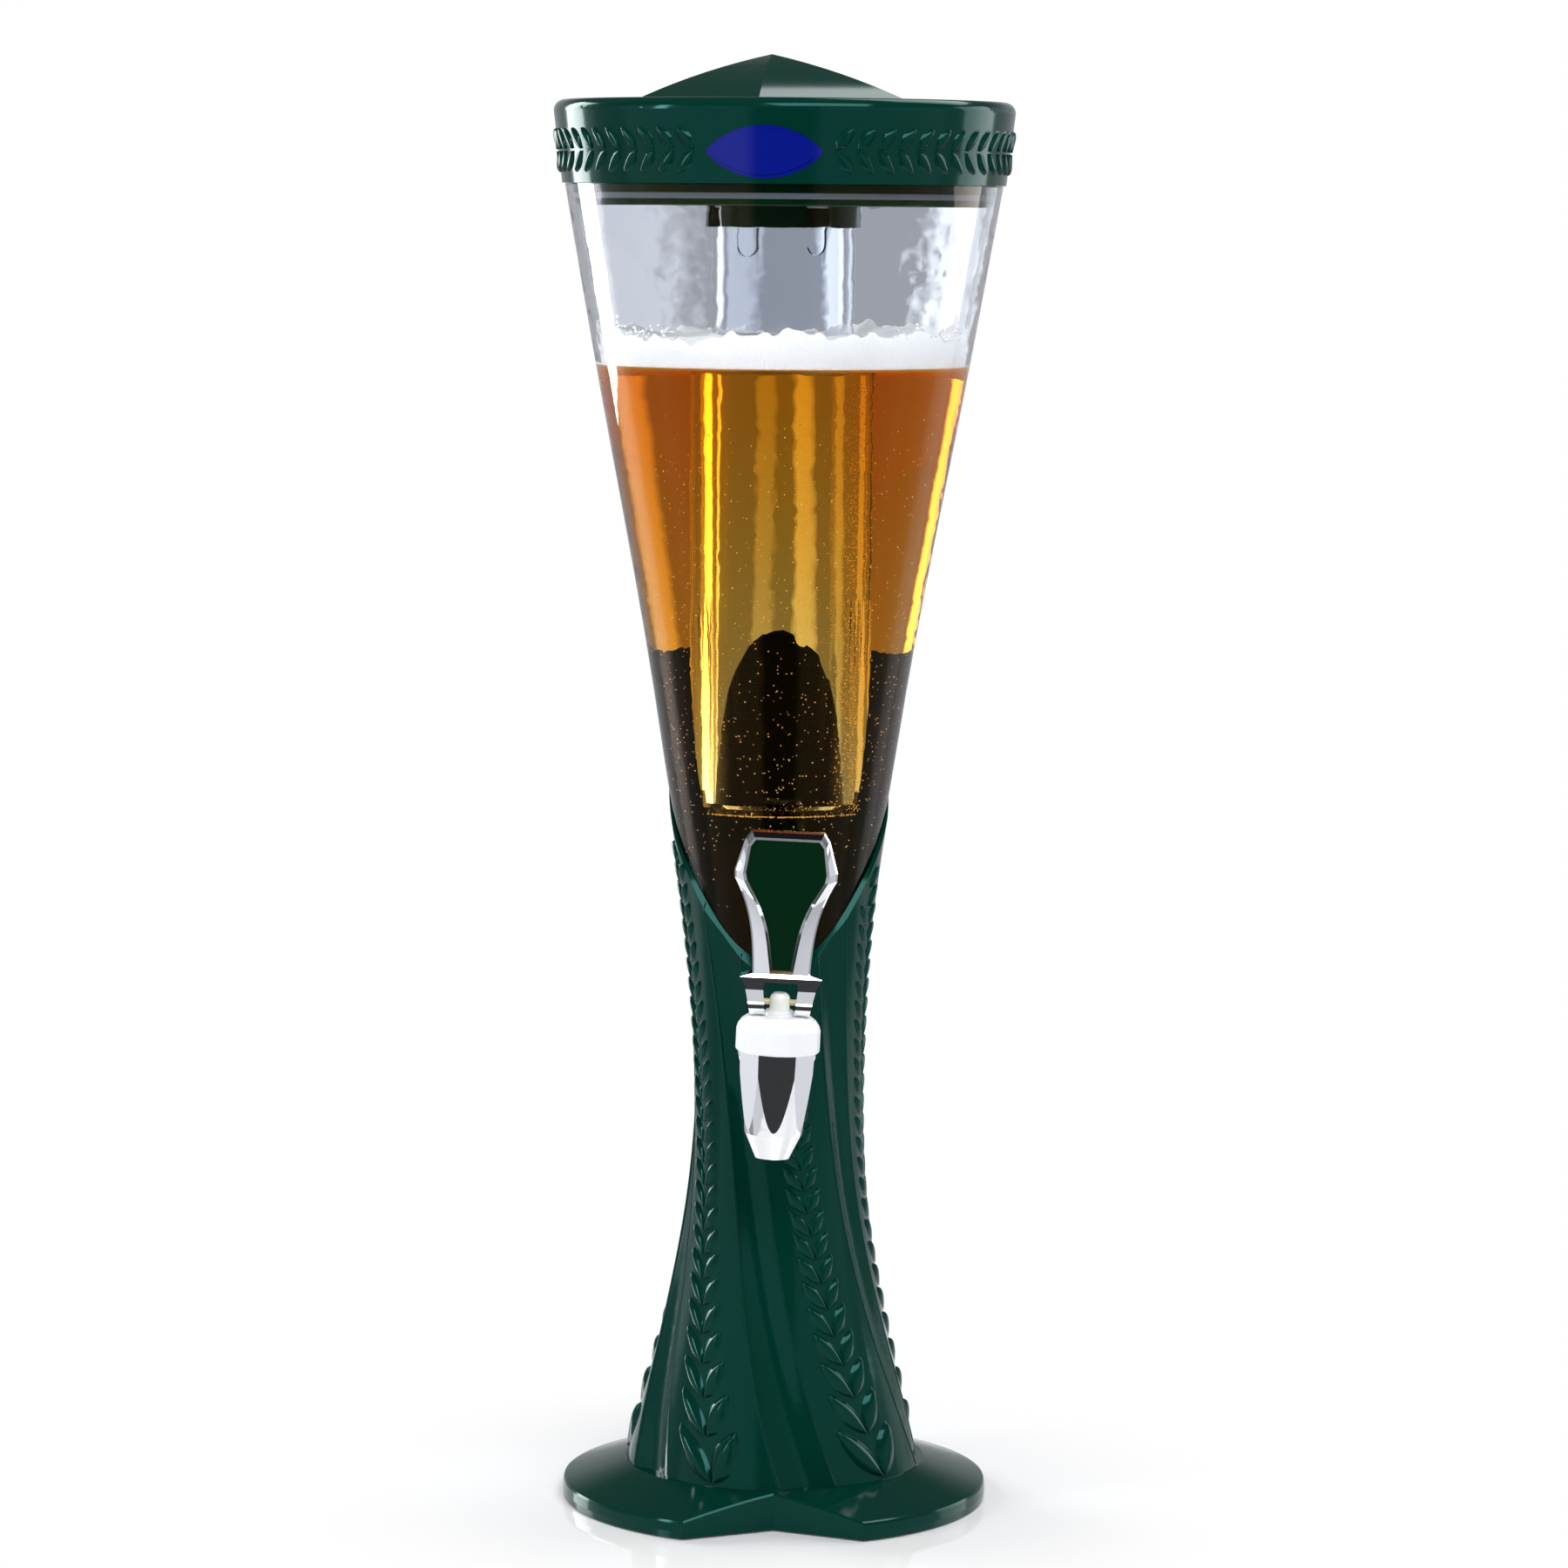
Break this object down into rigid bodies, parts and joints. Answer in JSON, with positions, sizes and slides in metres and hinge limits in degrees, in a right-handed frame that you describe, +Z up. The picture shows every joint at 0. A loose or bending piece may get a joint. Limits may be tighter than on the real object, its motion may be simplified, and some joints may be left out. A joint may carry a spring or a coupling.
{
  "type": "beer tower dispenser",
  "caption": "Tall funnel-shaped clear drink dispenser on a twisted fluted column, with a lift-off lid carrying an ice tube and a lever tap.",
  "frame": {"origin": "on the table under the axis of the column, at the bottom of the rubber feet", "axes": "+Z up along the column, -Y towards the tap, +X to the right of someone facing the tap"},
  "size_m": [0.227, 0.227, 0.7218],
  "materials": {
    "green_abs": "glossy dark green moulded ABS",
    "dark_green_abs": "glossy very dark green ABS",
    "clear_plastic": "clear polycarbonate",
    "frosted_plastic": "translucent white moulding",
    "white_plastic": "white acetal",
    "cream_nylon": "cream nylon",
    "blue_plastic": "glossy blue resin",
    "black_plastic": "fine grained black",
    "chromed_plastic": "bright chrome plating on ABS",
    "clear_silicone": "translucent silicone",
    "black_rubber": "matt black rubber",
    "steel": "zinc plated steel"
  },
  "bodies": {
    "tower": {"base_plate": "green_abs", "bottom_cover": "black_plastic", "cover_screws": "steel", "rubber_feet": "black_rubber", "column_shell": "green_abs", "column_screws": "steel", "beer_vessel": "clear_plastic", "vessel_screws": "steel", "tap_body": "chromed_plastic", "outer_washer": "clear_silicone", "inner_washer": "clear_silicone", "shank_nut": "white_plastic", "tap_bonnet": "frosted_plastic", "stem_seal": "clear_silicone"},
    "lid": {"lid_shell": "green_abs", "lid_badge": "blue_plastic", "lid_liner": "dark_green_abs", "liner_screws": "steel", "lid_seal": "black_rubber", "tube_gasket": "clear_silicone"},
    "ice_tube": {"ice_tube": "clear_plastic"},
    "valve_stem": {"tap_stem": "white_plastic", "seat_cup": "clear_silicone", "pivot_pin": "cream_nylon"},
    "tap_lever": {"tap_handle": "chromed_plastic", "handle_insert": "dark_green_abs"}
  },
  "joints": [
    {"name": "lid_lift", "type": "slide", "parent": "tower", "child": "lid", "axis": [0, 0, 1], "range_m": [0, 0.32]},
    {"name": "ice_tube_turn", "type": "hinge", "parent": "lid", "child": "ice_tube", "pos_m": [0, 0, 0.64], "axis": [0, 0, 1], "range_deg": [-34, 0]},
    {"name": "stem_lift", "type": "slide", "parent": "tower", "child": "valve_stem", "axis": [0.0419, 0, 0.9991], "range_m": [0, 0.0033]},
    {"name": "lever_tilt", "type": "hinge", "parent": "valve_stem", "child": "tap_lever", "pos_m": [0.00115, -0.078, 0.26348], "axis": [0.9991, 0, -0.0419], "range_deg": [0, 35], "stiffness_Nm_per_rad": 0.08, "springref_deg": -5.73}
  ],
  "couplings": [
    {"joint": "stem_lift", "follows": "lever_tilt", "m_per_rad": 0.0052}
  ]
}
